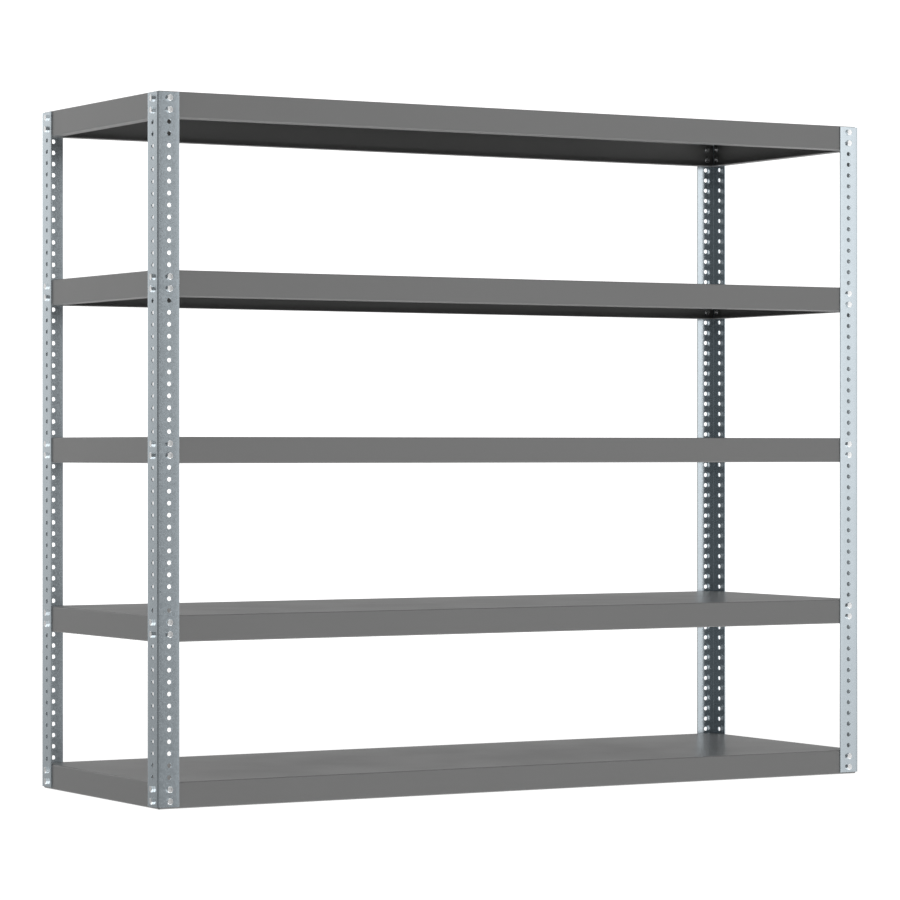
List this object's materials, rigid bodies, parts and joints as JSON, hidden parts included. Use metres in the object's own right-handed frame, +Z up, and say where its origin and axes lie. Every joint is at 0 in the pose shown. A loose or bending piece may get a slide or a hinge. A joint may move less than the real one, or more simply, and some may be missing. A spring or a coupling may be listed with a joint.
{
  "type": "bolted steel shelving unit",
  "caption": "Free-standing bolted shelving: perforated galvanised angle posts at the corners, box-formed grey sheet-steel shelves, and hex bolts and nuts through both post flanges.",
  "frame": {"origin": "bottom centre of the unit, on the floor plane under the lowest shelf's lips", "axes": "+Z up, X along the width with +X to the right seen from the front, Y along the depth with the front at -Y"},
  "size_m": [1.8392, 0.62, 1.5299],
  "materials": {
    "galvanised_steel": "bright hot-dip galvanised sheet with a fine spangle, semi-gloss",
    "shelf_paint": "mid-grey baked enamel, semi-gloss",
    "zinc_bolt": "bright zinc plate",
    "zinc_nut": "bright zinc plate"
  },
  "bodies": {
    "root": {"post_front_left": "galvanised_steel", "post_front_right": "galvanised_steel", "post_rear_right": "galvanised_steel", "post_rear_left": "galvanised_steel", "shelf_1": "shelf_paint", "shelf_2": "shelf_paint", "shelf_3": "shelf_paint", "shelf_4": "shelf_paint", "shelf_5": "shelf_paint", "bolts_shelf_1_front_left": "zinc_bolt", "bolts_shelf_1_front_right": "zinc_bolt", "bolts_shelf_1_rear_right": "zinc_bolt", "bolts_shelf_1_rear_left": "zinc_bolt", "bolts_shelf_2_front_left": "zinc_bolt", "bolts_shelf_2_front_right": "zinc_bolt", "bolts_shelf_2_rear_right": "zinc_bolt", "bolts_shelf_2_rear_left": "zinc_bolt", "bolts_shelf_3_front_left": "zinc_bolt", "bolts_shelf_3_front_right": "zinc_bolt", "bolts_shelf_3_rear_right": "zinc_bolt", "bolts_shelf_3_rear_left": "zinc_bolt", "bolts_shelf_4_front_left": "zinc_bolt", "bolts_shelf_4_front_right": "zinc_bolt", "bolts_shelf_4_rear_right": "zinc_bolt", "bolts_shelf_4_rear_left": "zinc_bolt", "bolts_shelf_5_front_left": "zinc_bolt", "bolts_shelf_5_front_right": "zinc_bolt", "bolts_shelf_5_rear_right": "zinc_bolt", "bolts_shelf_5_rear_left": "zinc_bolt", "nuts_shelf_1_front_left": "zinc_nut", "nuts_shelf_1_front_right": "zinc_nut", "nuts_shelf_1_rear_right": "zinc_nut", "nuts_shelf_1_rear_left": "zinc_nut", "nuts_shelf_2_front_left": "zinc_nut", "nuts_shelf_2_front_right": "zinc_nut", "nuts_shelf_2_rear_right": "zinc_nut", "nuts_shelf_2_rear_left": "zinc_nut", "nuts_shelf_3_front_left": "zinc_nut", "nuts_shelf_3_front_right": "zinc_nut", "nuts_shelf_3_rear_right": "zinc_nut", "nuts_shelf_3_rear_left": "zinc_nut", "nuts_shelf_4_front_left": "zinc_nut", "nuts_shelf_4_front_right": "zinc_nut", "nuts_shelf_4_rear_right": "zinc_nut", "nuts_shelf_4_rear_left": "zinc_nut", "nuts_shelf_5_front_left": "zinc_nut", "nuts_shelf_5_front_right": "zinc_nut", "nuts_shelf_5_rear_right": "zinc_nut", "nuts_shelf_5_rear_left": "zinc_nut"}
  },
  "joints": []
}
